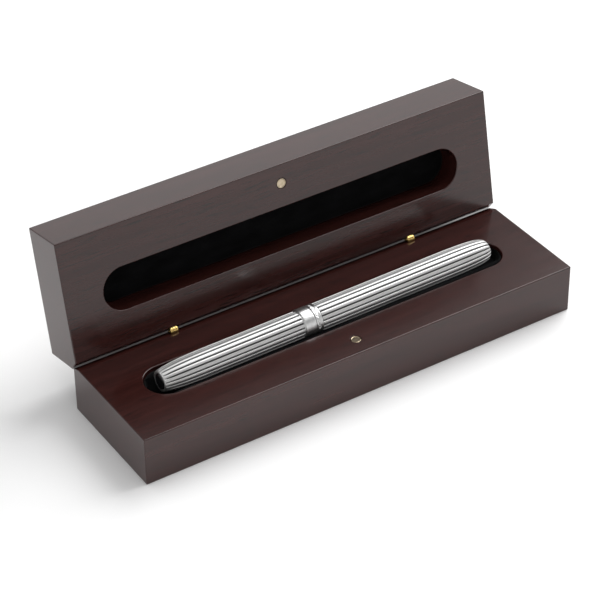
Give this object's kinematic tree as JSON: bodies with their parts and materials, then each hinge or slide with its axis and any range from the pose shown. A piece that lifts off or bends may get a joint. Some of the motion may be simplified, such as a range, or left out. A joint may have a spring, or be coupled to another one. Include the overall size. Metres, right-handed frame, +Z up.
{
  "type": "fountain pen case",
  "caption": "Slim dark wooden presentation case with a hinged lid, magnet closure, routed velvet-lined recess and a fluted fountain pen lying in it.",
  "frame": {"origin": "centre of the base block's underside, the face the case rests on", "axes": "+X along the case towards the pen barrel's end, +Y towards the hinges, +Z up"},
  "size_m": [0.18, 0.0754, 0.066],
  "materials": {
    "dark_wood": "very dark stained wood with a satin lacquer",
    "black_velvet": "short black velvet pile",
    "plated_magnet": "polished pale gold plating",
    "hinge_brass": "polished brass",
    "polished_silver": "polished silver plating",
    "black_resin": "glossy black resin",
    "black_plastic": "satin black plastic",
    "nib_steel": "polished steel",
    "ink_plastic": "blue-black ink seen through clear plastic"
  },
  "bodies": {
    "base": {"base_block": "dark_wood", "base_cradle_pad": "black_velvet", "base_magnet": "plated_magnet", "left_hinge_base_barrel": "hinge_brass", "left_hinge_pin": "hinge_brass", "right_hinge_base_barrel": "hinge_brass", "right_hinge_pin": "hinge_brass"},
    "lid": {"lid_block": "dark_wood", "lid_lining": "black_velvet", "lid_magnet": "plated_magnet", "left_hinge_lid_barrel": "hinge_brass", "right_hinge_lid_barrel": "hinge_brass"},
    "pen": {"barrel_shell": "polished_silver", "thread_ring": "hinge_brass", "grip_section": "black_plastic", "nib": "nib_steel", "nib_feed": "black_plastic", "ink_cartridge": "ink_plastic"},
    "cap": {"cap_shell": "polished_silver", "cap_end_disc": "black_resin", "cap_band": "polished_silver", "cap_lip_ring": "polished_silver", "inner_cap": "black_plastic"}
  },
  "joints": [
    {"name": "lid_hinge", "type": "hinge", "parent": "base", "child": "lid", "pos_m": [0, 0.02255, 0.01975], "axis": [1, 0, 0], "range_deg": [0, 101.3]},
    {"name": "pen_lift", "type": "slide", "parent": "base", "child": "pen", "axis": [0, 0, 1], "range_m": [0, 0.06]},
    {"name": "cap_pull", "type": "slide", "parent": "pen", "child": "cap", "axis": [-0.9999, -0.0113, 0], "range_m": [0, 0.0032]}
  ]
}
